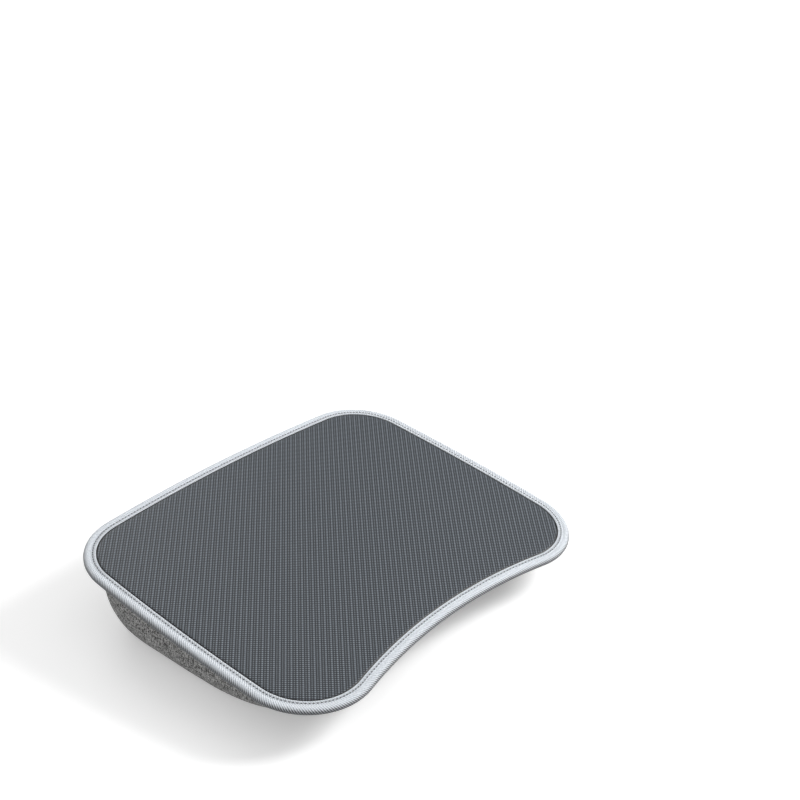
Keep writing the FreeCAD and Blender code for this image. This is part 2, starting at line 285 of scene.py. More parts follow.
def coordinates(mesh):
    co = np.empty(len(mesh.vertices) * 3)
    mesh.vertices.foreach_get("co", co)
    return co.reshape(-1, 3)


def vertex_normals(mesh):
    normals = np.empty(len(mesh.vertices) * 3)
    mesh.vertex_normals.foreach_get("vector", normals)
    return normals.reshape(-1, 3)


def set_coordinates(mesh, co):
    mesh.vertices.foreach_set("co", np.ascontiguousarray(co, float).ravel())
    mesh.update()


def set_attribute(mesh, name, values):
    # One number at each vertex, for a material to read
    attribute = mesh.attributes.new(name, "FLOAT", "POINT")
    attribute.data.foreach_set("value", np.asarray(values).astype(np.float32).ravel())


def capsules(name, centers, directions, ups, length, radius):
    # Short rounded stitches, all in one mesh, with ends a quarter as thick as the middle
    around, steps = 8, 7
    end_share = 0.25
    template = []
    for i in range(steps):
        a = math.pi * i / (steps - 1)
        x = -math.cos(a) * length / 2
        bulge = radius * (end_share + (1 - end_share) * math.sin(a) ** 0.5)
        for j in range(around):
            b = 2 * math.pi * j / around
            template.append((x, bulge * math.cos(b), bulge * math.sin(b)))
    template = np.array(template)
    quads = []
    for i in range(steps - 1):
        for j in range(around):
            k = (j + 1) % around
            low, high = i * around, (i + 1) * around
            quads.append((low + j, low + k, high + k, high + j))
    quads = np.array(quads)
    points, faces = [], []
    for n, (center, direction, up) in enumerate(zip(centers, directions, ups)):
        direction = direction / np.linalg.norm(direction)
        side = np.cross(up, direction)
        side = side / np.linalg.norm(side)
        basis = np.stack([direction, side, np.cross(direction, side)])
        points.append(center + template @ basis)
        faces.append(quads + n * len(template))
    return make_object(name, np.concatenate(points), np.concatenate(faces))


# Materials


def rgba(color):
    return color if isinstance(color, bpy.types.NodeSocket) else (*color, 1.0)


class Nodes:
    # Short calls for the nodes of one tree

    def __init__(self, tree):
        self.tree = tree

    def node(self, kind, inputs=(), **settings):
        made = self.tree.nodes.new(kind)
        for key, value in settings.items():
            setattr(made, key, value)
        for key, value in dict(inputs).items():
            self.put(made.inputs[key], value)
        return made

    def put(self, socket, value):
        if isinstance(value, bpy.types.NodeSocket):
            self.tree.links.new(value, socket)
        else:
            socket.default_value = value

    def math(self, operation, first, second=0.0, third=0.0):
        made = self.node("ShaderNodeMath", {0: first, 1: second, 2: third}, operation=operation)
        return made.outputs[0]

    def add(self, first, second):
        return self.math("ADD", first, second)

    def subtract(self, first, second):
        return self.math("SUBTRACT", first, second)

    def times(self, first, second):
        return self.math("MULTIPLY", first, second)

    def weigh(self, value, weight, rest):
        # The value times its weight, added to the rest
        return self.math("MULTIPLY_ADD", value, weight, rest)

    def sine(self, value, pitch):
        return self.math("SINE", self.times(value, 2 * math.pi / pitch))

    def wave(self, value, pitch):
        # A sine of the given pitch, from 0 to 1
        return self.weigh(self.sine(value, pitch), 0.5, 0.5)

    def fade(self, value, start, end, first, last):
        # From first to last while the value goes from start to end
        inputs = {0: value, 1: start, 2: end, 3: first, 4: last}
        return self.node("ShaderNodeMapRange", inputs).outputs[0]

    def band(self, value, middle, core, edge, strength):
        # Full strength within core of the middle, and nothing beyond edge
        off = self.math("ABSOLUTE", self.subtract(value, middle))
        return self.fade(off, core, edge, strength, 0.0)

    def noise(self, vector, scale, detail=2.0, roughness=0.5):
        inputs = {"Vector": vector, "Scale": scale, "Detail": detail, "Roughness": roughness}
        return self.node("ShaderNodeTexNoise", inputs).outputs["Fac"]

    def streaks(self, x, y, x_scale, y_scale, detail=2.0, roughness=0.5):
        # Noise on two coordinates, each with its own scale
        inputs = {0: self.times(x, x_scale), 1: self.times(y, y_scale)}
        vector = self.node("ShaderNodeCombineXYZ", inputs).outputs[0]
        return self.noise(vector, 1.0, detail, roughness)

    def ramp(self, value, stops):
        made = self.node("ShaderNodeValToRGB", {"Fac": value})
        elements = made.color_ramp.elements
        while len(elements) < len(stops):
            elements.new(0.5)
        for element, (place, color) in zip(elements, stops):
            element.position = place
            element.color = rgba(color)
        return made.outputs["Color"]

    def mix(self, share, first, second):
        # Mixes two colours
        inputs = {0: share, 6: rgba(first), 7: rgba(second)}
        return self.node("ShaderNodeMix", inputs, data_type="RGBA").outputs[2]

    def blend(self, share, first, second):
        # Mixes two numbers
        return self.node("ShaderNodeMix", {0: share, 2: first, 3: second}).outputs[0]

    def split(self, vector):
        made = self.node("ShaderNodeSeparateXYZ", {0: vector})
        return made.outputs[0], made.outputs[1], made.outputs[2]

    def weave(self):
        # Texture coordinates along and across the cloth, in metres
        return self.split(self.node("ShaderNodeUVMap", uv_map="weave").outputs[0])[:2]

    def place(self):
        return self.node("ShaderNodeTexCoord").outputs["Object"]

    def attribute(self, name):
        return self.node("ShaderNodeAttribute", attribute_name=name).outputs["Fac"]


class Surface(Nodes):
    # A material with one Principled shader

    def __init__(self, name, roughness, sheen=0.0, specular=0.5):
        self.material = bpy.data.materials.new(name)
        self.material.use_nodes = True
        super().__init__(self.material.node_tree)
        self.shader = self.tree.nodes["Principled BSDF"]
        self.shader.inputs["Roughness"].default_value = roughness
        self.shader.inputs["Sheen Weight"].default_value = sheen
        self.shader.inputs["Specular IOR Level"].default_value = specular

    def finish(self, color, height, strength, distance, roughness=None):
        self.put(self.shader.inputs["Base Color"], color)
        if roughness is not None:
            self.put(self.shader.inputs["Roughness"], roughness)
        inputs = {"Height": height, "Strength": strength, "Distance": distance}
        self.put(self.shader.inputs["Normal"], self.node("ShaderNodeBump", inputs).outputs[0])
        return self.material


# Linen: crossings of the weave in metres, and cells of noise per metre
WEAVE_PITCH = 0.0014
THREAD_CELLS, SLUB_CELLS = 720.0, 120.0
FLECK_CELLS = (480.0, 420.0)
PATCH_CELLS = (60.0, 60.0)
THREAD_WEIGHT, FLECK_WEIGHT, PATCH_WEIGHT, CROWN_SHADE_WEIGHT = 0.72, 0.34, 0.10, 0.20
CROSSING_SHARPNESS = 4.0
CROWN_MEAN = 0.64
LINEN_TONES = [
    (0.468, (0.030, 0.030, 0.029)),
    (0.518, (0.098, 0.097, 0.095)),
    (0.556, (0.275, 0.273, 0.270)),
    (0.602, (0.640, 0.637, 0.632)),
]
STRAP_SHADE = 0.78
STRAP_TONES = [
    (place, tuple(STRAP_SHADE * part for part in color)) for place, color in LINEN_TONES
]
# Colour of the painted shade in the creases along the seams
SEAM_CREASE_SHADE = (0.022, 0.022, 0.022)


def linen(name, tones):
    # Heathered plain weave: slubby threads both ways, dark and light yarns mixed, painted shade
    # along the seam creases and in the gaps between crossing threads
    t = Surface(name, roughness=0.92, sheen=0.25, specular=0.2)
    u, v = t.weave()
    warp = t.streaks(u, v, THREAD_CELLS, SLUB_CELLS, detail=3.0, roughness=0.6)
    weft = t.streaks(u, v, SLUB_CELLS, THREAD_CELLS, detail=3.0, roughness=0.6)
    across, down = t.sine(u, 2 * WEAVE_PITCH), t.sine(v, 2 * WEAVE_PITCH)
    over = t.weigh(t.times(across, down), CROSSING_SHARPNESS, 0.5)
    over = t.math("MINIMUM", t.math("MAXIMUM", over, 0.0), 1.0)
    thread = t.blend(over, warp, weft)
    fleck = t.streaks(u, v, *FLECK_CELLS, detail=1.0)
    patch = t.streaks(u, v, *PATCH_CELLS)
    tone = t.weigh(fleck, FLECK_WEIGHT, t.times(thread, THREAD_WEIGHT))
    tone = t.weigh(patch, PATCH_WEIGHT, t.subtract(tone, PATCH_WEIGHT / 2))
    crown = t.blend(over, t.math("ABSOLUTE", down), t.math("ABSOLUTE", across))
    # Painted shade: darker where the crown of the weave is low, in the gaps between crossing
    # threads
    tone = t.weigh(t.subtract(crown, CROWN_MEAN), CROWN_SHADE_WEIGHT, tone)
    # Painted shade along the seam creases, where the seam attribute is high
    color = t.mix(t.attribute("seam"), t.ramp(tone, tones), SEAM_CREASE_SHADE)
    height = t.weigh(thread, 0.8, crown)
    return t.finish(color, height, strength=0.55, distance=0.0006)


# Tape: pitches, and places on the run over the profile from the top lip's inner edge, in metres
TAPE_RIB_PITCH, TAPE_PICK_PITCH = 0.0026, 0.0007
TAPE_SLANT, TAPE_WANDER = 0.8, 0.0006
WANDER_CELLS, FIBRE_CELLS = 300.0, 700.0
OUTER_FROM, OUTER_TO = 0.0110, 0.0142
BELOW_FROM, BELOW_TO = 0.0165, 0.0185
TURN_BAND = (0.0158, 0.0006, 0.0032)
LIP_BAND = (0.0036, 0.0009, 0.0016)
TAPE_TONES = [
    (0.28, (0.43, 0.47, 0.52)), (0.5, (0.78, 0.83, 0.89)), (0.72, (0.90, 0.93, 0.96)),
]
TAPE_VALLEY_SHADE = (0.030, 0.033, 0.037)
TAPE_UNDERSIDE_SHADE = (0.21, 0.225, 0.24)
TAPE_TURN_SHADE = (0.05, 0.054, 0.06)
TAPE_LIP_SHADE = (0.24, 0.255, 0.28)
NEEDLE_HOLE_SHADE = (0.02, 0.022, 0.024)


def tape_twill(name):
    # Woven tape: pale diagonal ribs, painted shade between them on the outer half and under the
    # bead, and needle holes darkened with painted shade
    t = Surface(name, roughness=0.62, sheen=0.3, specular=0.35)
    u, v = t.weave()
    slant = t.weigh(v, TAPE_SLANT, u)
    slant = t.weigh(t.streaks(u, v, WANDER_CELLS, WANDER_CELLS), TAPE_WANDER, slant)
    rib = t.wave(slant, TAPE_RIB_PITCH)
    pick = t.wave(t.subtract(u, v), TAPE_PICK_PITCH)
    height = t.weigh(pick, 0.35, rib)
    fibre = t.streaks(u, v, FIBRE_CELLS, FIBRE_CELLS, roughness=0.6)
    # Paler rib crests and darker valleys: partly the twill's own pattern, partly painted shade in
    # the valleys
    tone = t.weigh(rib, 0.30, t.times(fibre, 0.7))
    color = t.ramp(tone, TAPE_TONES)
    # Painted shade in the valleys between the ribs on the outer, lower half of the bead
    outer = t.fade(v, OUTER_FROM, OUTER_TO, 0.0, 1.0)
    valley_shade = t.fade(rib, 0.74, 0.34, 0.0, 0.95)
    color = t.mix(t.times(outer, valley_shade), color, TAPE_VALLEY_SHADE)
    # Painted shade on the underside of the bead
    color = t.mix(t.fade(v, BELOW_FROM, BELOW_TO, 0.0, 0.75), color, TAPE_UNDERSIDE_SHADE)
    color = t.mix(t.band(v, *TURN_BAND, strength=0.75), color, TAPE_TURN_SHADE)
    color = t.mix(t.band(v, *LIP_BAND, strength=0.3), color, TAPE_LIP_SHADE)
    # Painted shade in the needle holes
    color = t.mix(t.attribute("hole"), color, NEEDLE_HOLE_SHADE)
    return t.finish(color, height, strength=0.7, distance=0.0007)


SHEET_TONES = [
    (0.14, (0.0095, 0.0105, 0.012)), (0.45, (0.053, 0.060, 0.069)), (0.85, (0.222, 0.25, 0.284)),
]
SHEET_RIM_SHADE = (0.004, 0.004, 0.004)
GRAIN_CELLS = (900.0, 420.0)


def carbon_ribs(name):
    # Ribbed sheet: diagonal ribs with one flank painted lighter and the other darker, as light from
    # one side would show them, painted shade in the deep groove of each rib, and each flank a
    # column of fine dots
    t = Surface(name, roughness=0.45, specular=0.3)
    x, y, _ = t.split(t.place())
    across = t.times(t.subtract(x, y), math.sqrt(0.5))
    along = t.times(t.add(x, y), math.sqrt(0.5))
    # Painted light: one flank of each rib lighter, the other darker
    lit_flank = t.wave(across, RIB_PITCH)
    ridge = t.wave(t.add(across, RIB_PITCH / 4), RIB_PITCH)
    # Painted shade: a dark line in the deep groove of each rib
    groove = t.subtract(1.0, t.wave(across, RIB_PITCH / 2))
    column = t.subtract(1.0, t.times(groove, t.weigh(ridge, -0.5, 1.0)))
    dots = t.times(column, t.weigh(t.wave(along, DOT_PITCH), 0.7, 0.3))
    grain = t.streaks(across, along, *GRAIN_CELLS, roughness=0.6)
    tone = t.weigh(lit_flank, 0.15, t.times(dots, 0.63))
    tone = t.weigh(grain, 0.22, tone)
    # Painted shade in the recess under the binding's lip, where the rim attribute is high
    color = t.mix(t.attribute("rim"), t.ramp(tone, SHEET_TONES), SHEET_RIM_SHADE)
    rough = t.weigh(grain, 0.2, 0.38)
    return t.finish(color, t.times(dots, 0.4), strength=0.4, distance=0.0004, roughness=rough)


PLY_PITCH, FUZZ_CELLS = 0.0007, 2600.0


def yarn(name, light, dark):
    # Sewing thread: two twisted plies
    t = Surface(name, roughness=0.7, sheen=0.2, specular=0.3)
    place = t.place()
    x, y, z = t.split(place)
    twist = t.wave(t.add(t.add(x, y), z), PLY_PITCH)
    fuzz = t.noise(place, FUZZ_CELLS, roughness=0.6)
    tone = t.weigh(twist, 0.5, t.times(fuzz, 0.5))
    return t.finish(t.mix(tone, dark, light), twist, strength=0.4, distance=0.0003)


def speckled(name, roughness, cells, dark, light, strength):
    # Hidden layers: fibreboard, foam, woven backing and filling, with coarse and fine specks
    t = Surface(name, roughness, specular=0.25)
    place = t.place()
    coarse = t.noise(place, cells, detail=4.0, roughness=0.6)
    fine = t.noise(place, cells * 6.0, roughness=0.6)
    tone = t.weigh(fine, 0.4, t.times(coarse, 0.6))
    color = t.ramp(tone, [(0.3, dark), (0.7, light)])
    return t.finish(color, tone, strength, distance=0.0008)


cover_cloth = linen("cover_linen", LINEN_TONES)
strap_cloth = linen("strap_linen", STRAP_TONES)
tape_cloth = tape_twill("binding_twill")
sheet_skin = carbon_ribs("ribbed_sheet")
seam_yarn = yarn("seam_yarn", light=(0.16, 0.17, 0.185), dark=(0.035, 0.038, 0.042))
strap_yarn = yarn("strap_yarn", light=(0.30, 0.30, 0.30), dark=(0.12, 0.12, 0.12))
board_skin = speckled(
    "fibreboard", 0.8, 240.0, dark=(0.20, 0.13, 0.075), light=(0.42, 0.30, 0.19), strength=0.3
)
foam_skin = speckled(
    "foam", 0.95, 900.0, dark=(0.52, 0.51, 0.47), light=(0.76, 0.75, 0.71), strength=0.5
)
backing_skin = speckled(
    "backing_cloth", 0.95, 1300.0,
    dark=(0.035, 0.036, 0.038), light=(0.13, 0.132, 0.136), strength=0.5,
)
fibre_skin = speckled(
    "loose_filling", 0.95, 420.0, dark=(0.66, 0.66, 0.63), light=(0.88, 0.88, 0.86), strength=0.6
)


# Binding: a piped tape swept round the tray, with a stitched lip above and below

perimeter = ring_arcs(
    HALF_WIDTH, HALF_DEPTH, -HALF_DEPTH, FRONT_HOLLOW, CORNER, CORNER, SIDE_RADIUS, REAR_RADIUS
)
length = ring_length(perimeter)


def make_binding():
    profile = np.array(TAPE_PROFILE)
    inset, height = profile[:, 0], profile[:, 1]
    stations = np.arange(PERIMETER_STEPS)
    edge, normals = trace(perimeter, stations * length / PERIMETER_STEPS)
    tape = np.empty((PERIMETER_STEPS, len(profile), 3))
    tape[:, :, :2] = edge[:, None, :] - normals[:, None, :] * inset[None, :, None]
    tape[:, :, 2] = height

    # Needle holes, sunk and darkened with painted shade, a slight pull of each stitch on the tape,
    # and a ripple along it
    at_hole = stations % STEPS_PER_STITCH == 0
    shade = np.where(at_hole, HOLE_SHADE, 0.0)[:, None]
    depth = np.where(at_hole, HOLE_DEPTH, PULL_DEPTH)[:, None]
    hole = np.zeros(tape.shape[:2])
    for row_inset, on_side, sign in (
        (TOP_STITCH_INSET, height > TOP_LIP_ABOVE, -1.0),
        (LOW_STITCH_INSET, height < 0.0, 1.0),
    ):
        hole += shade * (hump(inset - row_inset, HOLE_REACH) * on_side)
        tape[:, :, 2] += sign * depth * (hump(inset - row_inset, PULL_REACH) * on_side)
    ripple = np.array([noise.noise(Vector((*p, RIPPLE_SEED))) for p in edge * RIPPLE_PER_MM])
    tape[:, :, 2] += RIPPLE_RISE * ripple[:, None] * hump(inset - RIPPLE_INSET, RIPPLE_REACH)

    faces, places = grid_faces(PERIMETER_STEPS, len(profile), wrap_rows=True)
    rise = run_lengths(profile)
    along = places[:, :, 0] * length / PERIMETER_STEPS
    uv = np.stack([along, rise[places[:, :, 1]]], axis=2) * MM
    binding = make_object("binding_tape", to_row(tape), faces[:, ::-1], uv[:, ::-1])
    set_attribute(binding.data, "hole", np.clip(hole, 0, 1))
    binding.data.materials.append(tape_cloth)
    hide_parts("edge_binding")
    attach(binding, "tray")


def stitch_row(name, inset, height, up):
    middles = np.arange(0, PERIMETER_STEPS, STEPS_PER_STITCH) + STEPS_PER_STITCH / 2
    points, normals = trace(perimeter, middles * length / PERIMETER_STEPS)
    flat = points - normals * inset
    tangents = np.column_stack([-normals[:, 1], normals[:, 0], np.zeros(len(normals))])
    centers = np.column_stack([flat, np.full(len(flat), height)])
    origin = to_row([[0, 0, 0]])[0]
    directions = to_row(tangents) - origin
    ups = np.repeat(to_row([[0, 0, up]]) - origin, len(flat), axis=0)
    row = capsules(
        name, to_row(centers), directions, ups, STITCH_LENGTH * MM, STITCH_RADIUS * MM
    )
    row.data.materials.append(seam_yarn)
    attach(row, "tray")
    return row


make_binding()
top_row = stitch_row("binding_stitches_top", TOP_STITCH_INSET, TOP_STITCH_HEIGHT, 1.0)
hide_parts("needle_thread")
low_row = stitch_row("binding_stitches_low", LOW_STITCH_INSET, LOW_STITCH_HEIGHT, -1.0)
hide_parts("bobbin_thread")


# Top sheet: a ribbed field that dips under the lip of the binding

# The field has a slot of its own while it is cut
SKIN_SLOT, FIELD_SLOT = 0, 1


def field_parts(mesh):
    faces = [face for face in mesh.faces if face.material_index == FIELD_SLOT]
    edges = list({edge: None for face in faces for edge in face.edges})
    verts = list({vert: None for face in faces for vert in face.verts})
    return faces, edges, verts


def raise_ribs(data):
    # Cuts the field along and across the ribs, then lifts and sinks its points
    mesh = bmesh.new()
    mesh.from_mesh(data)
    reach = (HALF_WIDTH + HALF_DEPTH) / math.sqrt(2) * MM
    cuts = (((1, -1, 0), RIB_PITCH / CUTS_PER_RIB), ((1, 1, 0), CROSS_CUT_PITCH))
    for way, spacing in cuts:
        for number in range(-int(reach / spacing), int(reach / spacing) + 1):
            faces, edges, verts = field_parts(mesh)
            place = Vector(way).normalized() * number * spacing
            bmesh.ops.bisect_plane(
                mesh, geom=faces + edges + verts,
                dist=CUT_TOLERANCE, plane_co=place, plane_no=way,
            )
    upward = Vector(to_row([[0, 0, 1]])[0] - to_row([[0, 0, 0]])[0]).normalized()
    for vert in field_parts(mesh)[2]:
        turn = 2 * math.pi * (vert.co.x - vert.co.y) / math.sqrt(2) / RIB_PITCH
        vert.co += upward * 0.5 * RIB_RISE * math.cos(turn)
    for face in mesh.faces:
        face.material_index = SKIN_SLOT
    mesh.to_mesh(data)
    mesh.free()


def make_sheet():
    edge, normals = trace(perimeter, np.arange(SHEET_STEPS) * length / SHEET_STEPS)
    count = len(SHEET_RINGS)
    rings = np.empty((SHEET_STEPS, count, 3))
    for index, (inset, height, _) in enumerate(SHEET_RINGS):
        rings[:, index, :2] = edge - normals * inset
        rings[:, index, 2] = height
    faces, _ = grid_faces(SHEET_STEPS, count, wrap_rows=True)
    field = np.arange(SHEET_STEPS) * count + count - 1
    skin = make_object("top_sheet_skin", to_row(rings), [*faces[:, ::-1], field[::-1]])
    skin.data.materials.append(sheet_skin)
    # The rim attribute carries painted shade for the recess under the lip
    set_attribute(skin.data, "rim", np.tile([shade for _, _, shade in SHEET_RINGS], SHEET_STEPS))
    skin.data.polygons[len(skin.data.polygons) - 1].material_index = FIELD_SLOT
    raise_ribs(skin.data)
    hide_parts("top_sheet")
    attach(skin, "tray")


make_sheet()


# Cushion: panels between the mitre seams, swelled as cloth, then drawn in along their seams

RING_SAMPLES = 1600
LEVELS = 20
WALL_CROWD, SLOPE_CROWD, SEAM_CROWD = 1.25, 1.35, 0.72
VALLEY_RISE = 1.2

# Distances within which points are joined, in metres
WELD, SLIVER = 0.00015, 0.00005


def cushion_level(angle, slope, inside):
    # Arcs of one ring of the cushion, its share of the cushion's depth, and its lift
    across = math.sin(angle) if slope else 1 - math.cos(angle)
    seam_half, seam_rear = HALF_WIDTH - SEAM_INSET, HALF_DEPTH - SEAM_INSET
    crown_half = seam_half - SIDE_RUN
    crown_rear, crown_front = seam_rear - REAR_RUN, -seam_rear + FRONT_RUN
    crown_side = (crown_rear - crown_front) / 2
    corner = CORNER - SEAM_INSET
    if slope:
        curve = lerp(CROWN_CURVE, VALLEY_CURVE, across)
        outset = inside * across
        arcs = ring_arcs(
            lerp(crown_half, VALLEY_HALF, across) + outset,
            lerp(crown_rear, VALLEY_Y + VALLEY_SIDE, across) + outset,
            lerp(crown_front, VALLEY_Y - VALLEY_SIDE, across) - outset,
            curve * FRONT_HOLLOW,
            REAR_FULLNESS * lerp(crown_side, VALLEY_SIDE, across) + outset,
            FRONT_FULLNESS * lerp(crown_side, VALLEY_SIDE, across) + outset,
            SIDE_RADIUS / curve,
            REAR_RADIUS / curve,
        )
        return arcs, lerp(VALLEY_SHARE, 1.0, math.cos(angle)), inside * math.cos(angle)
    curve = lerp(1.0, CROWN_CURVE, across)
    inset = inside * (1 - across)
    bulge = SIDE_BULGE * math.sin(2 * angle)
    arcs = ring_arcs(
        lerp(seam_half, crown_half, across) + bulge - inset,
        lerp(seam_rear, crown_rear, across) - inset,
        lerp(-seam_rear, crown_front, across) + inset,
        curve * FRONT_HOLLOW,
        lerp(corner, REAR_FULLNESS * crown_side, math.sin(angle)) - inset,
        lerp(corner, FRONT_FULLNESS * crown_side, math.sin(angle)) - inset,
        SIDE_RADIUS / curve,
        REAR_RADIUS / curve,
    )
    return arcs, math.sin(angle), inside * math.sin(angle)


def mitre_frame(points, sign_x, sign_y):
    # Distance of points along one mitre seam from the valley's end, and beside it
    start = np.array([sign_x * VALLEY_HALF, VALLEY_Y])
    end = np.array([sign_x * HALF_WIDTH, sign_y * HALF_DEPTH])
    way = (end - start) / np.linalg.norm(end - start)
    rel = points[:, :2] - start
    return rel @ way, rel[:, 0] * way[1] - rel[:, 1] * way[0]


def crossings(arcs):
    # Distances along a ring at which it meets the four mitre seams, in clockwise order
    behind = 0.5
    samples = np.linspace(0, ring_length(arcs), RING_SAMPLES, endpoint=False)
    step = samples[1] - samples[0]
    points, _ = trace(arcs, samples)
    found = []
    for mitre in MITRES:
        ahead, off = mitre_frame(points, *mitre)
        after = np.roll(off, -1)
        hits = np.nonzero((off * after <= 0) & (ahead > -behind) & (off != after))[0]
        hit = hits[np.argmax(ahead[hits])]
        found.append(samples[hit] + step * off[hit] / (off[hit] - after[hit]))
    return found


def crowded(count, crowd):
    # Shares from 0 to 1 that crowd towards both ends
    t = np.linspace(0, 1, count)
    return t - crowd * np.sin(2 * math.pi * t) / (2 * math.pi)


def cushion_grid(counts, inside):
    # For each panel, points and texture coordinates on a grid of levels by steps
    shares = np.linspace(0, 1, LEVELS)
    wall = 0.5 * math.pi * shares ** WALL_CROWD
    slope = 0.5 * math.pi * (1 - (1 - shares[1:]) ** SLOPE_CROWD)
    levels = [(a, False) for a in wall] + [(a, True) for a in slope]
    grids = {panel: ([], []) for panel in PANELS}
    for angle, is_slope in levels:
        arcs, share, lift = cushion_level(angle, is_slope, inside)
        marks = crossings(arcs)
        tilt = math.atan(share * math.tan(LEAN))
        for index, panel in enumerate(PANELS):
            first = marks[index]
            run = (marks[(index + 1) % len(PANELS)] - first) % ring_length(arcs)
            steps = crowded(counts[index], SEAM_CROWD)
            points, _ = trace(arcs, first + run * steps)
            y = points[:, 1] * math.cos(tilt)
            z = lift - share * (CROWN_DROP + math.tan(LEAN) * y)
            grids[panel][0].append(np.column_stack([points[:, 0], y, z]))
            grids[panel][1].append((steps - 0.5) * run)
    result = {}
    for panel, (points, across) in grids.items():
        points = np.array(points)
        last = points[-1].copy()
        last[:, 1] = VALLEY_Y
        if panel in ("cover_rear_panel", "cover_front_panel"):
            last[:, 2] += VALLEY_RISE
        else:
            last[:, 0] = math.copysign(VALLEY_HALF, points[-1][0, 0])
            last[:, 2] = points[-1][:, 2].mean() + VALLEY_RISE
        points = np.concatenate([points, last[None]])
        across = np.array(across + [across[-1]])
        down = run_lengths(points[:, points.shape[1] // 2])
        uv = np.stack([across, np.repeat(down[:, None], across.shape[1], axis=1)], axis=2)
        result[panel] = (points, uv)
    return result


def closed_cushion(name, counts, inside):
    # All four panels in one closed mesh, welded along the seams; material slots keep them apart
    points, faces, uv, owner = [], [], [], []
    base = 0
    for index, (grid, texture) in enumerate(cushion_grid(counts, inside).values()):
        rows, cols = grid.shape[:2]
        quads, places = grid_faces(rows, cols)
        points.append(grid.reshape(-1, 3))
        faces.append(quads + base)
        uv.append(texture[places[:, :, 0], places[:, :, 1]])
        owner += [index] * len(quads)
        base += rows * cols
    obj = make_object(
        name, to_row(np.concatenate(points)), np.concatenate(faces), np.concatenate(uv) * MM
    )
    obj.data.polygons.foreach_set("material_index", owner)
    mesh = bmesh.new()
    mesh.from_mesh(obj.data)
    bmesh.ops.remove_doubles(mesh, verts=mesh.verts, dist=WELD)
    bmesh.ops.dissolve_degenerate(mesh, dist=SLIVER, edges=mesh.edges)
    open_edges = [edge for edge in mesh.edges if edge.is_boundary]
    bmesh.ops.contextual_create(mesh, geom=open_edges)
    bmesh.ops.recalc_face_normals(mesh, faces=mesh.faces)
    mesh.to_mesh(obj.data)
    mesh.free()
    return obj


def seam_field(points):
    # Distance of each point to the nearest seam, and a station along that seam, in the tray's frame
    far, seam_offset = 1e3, 500
    near = np.full(len(points), far)
    station = np.zeros(len(points))
    for number, mitre in enumerate(MITRES):
        ahead, off = mitre_frame(points, *mitre)
        off = np.where(ahead < 0, np.hypot(ahead, off), abs(off))
        closer = off < near
        near = np.where(closer, off, near)
        station = np.where(closer, ahead + seam_offset * number, station)
    return near, station


# Swelling: what holds the cloth, the table in metres, its behaviour, and how far a point may move
HELD_DEPTH = 0.5
VALLEY_GRIP, VALLEY_GRIP_RISE, VALLEY_GRIP_PAST = 4.0, 1.0, 3
TABLE_HALF, TABLE_Z, TABLE_SKIN = 0.4, -0.0016, 0.001
CLOTH = {
    "quality": 6,
    "mass": 0.01,
    "tension_stiffness": 18,
    "compression_stiffness": 18,
    "shear_stiffness": 6,
    "bending_stiffness": 2.0,
    "use_pressure": True,
    "uniform_pressure_force": 40.0,
    "shrink_min": -0.012,
    "shrink_max": -0.012,
}
CLOTH_FRAMES = 14
SMOOTH_ROUNDS = 10
CAP, FRONT_SEAM_CAP, REAR_SEAM_CAP, CAP_REACH = 5.0, 3.5, 1.0, 25.0


def square(half, z):
    return [(-half, -half, z), (half, -half, z), (half, half, z), (-half, half, z)]


def smoothed(step, pairs, held):
    # Each point's step averaged with those of its neighbours, apart from the held points
    for _ in range(SMOOTH_ROUNDS):
        total, count = step.copy(), np.ones((len(step), 1))
        for one, other in ((0, 1), (1, 0)):
            np.add.at(total, pairs[:, one], step[pairs[:, other]])
            np.add.at(count, pairs[:, one], 1)
        step = np.where(held[:, None], 0.0, total / count)
    return step


def swell(obj):
    # Cloth under pressure, held at the tray and the valley, and less free to move at the seams
    start = coordinates(obj.data)
    tray = to_tray(start)
    near, _ = seam_field(tray)
    valley_z = -VALLEY_DROP + VALLEY_GRIP_RISE
    at_valley = np.hypot(tray[:, 1] - VALLEY_Y, tray[:, 2] - valley_z) < VALLEY_GRIP
    at_valley &= abs(tray[:, 0]) < VALLEY_HALF + VALLEY_GRIP_PAST
    held = (tray[:, 2] > -HELD_DEPTH) | at_valley
    group = obj.vertex_groups.new(name="held")
    group.add([int(index) for index in np.nonzero(held)[0]], 1.0, "REPLACE")
    table = make_object("rest_table", square(TABLE_HALF, TABLE_Z), [(0, 1, 2, 3)])
    table.modifiers.new("stop", "COLLISION")
    table.collision.thickness_outer = TABLE_SKIN
    cloth = obj.modifiers.new("swell", "CLOTH")
    for key, value in CLOTH.items():
        setattr(cloth.settings, key, value)
    cloth.settings.vertex_group_mass = "held"
    cloth.settings.effector_weights.gravity = 0.0
    cloth.collision_settings.distance_min = TABLE_SKIN
    scene = bpy.context.scene
    for number in range(1, CLOTH_FRAMES + 1):
        scene.frame_set(number)
    graph = bpy.context.evaluated_depsgraph_get()
    moved = coordinates(obj.evaluated_get(graph).data)
    obj.modifiers.clear()
    scene.frame_set(1)
    bpy.data.objects.remove(table)
    pairs = np.array([edge.vertices[:] for edge in obj.data.edges])
    step = smoothed(moved - start, pairs, held)
    seam_cap = np.where(tray[:, 1] < VALLEY_Y, FRONT_SEAM_CAP, REAR_SEAM_CAP)
    cap = (CAP + (seam_cap - CAP) * np.exp(-near / CAP_REACH)) * MM
    far = np.maximum(np.linalg.norm(step, axis=1), 1e-9)
    step *= np.minimum(1.0, cap / far)[:, None]
    set_coordinates(obj.data, start + step)


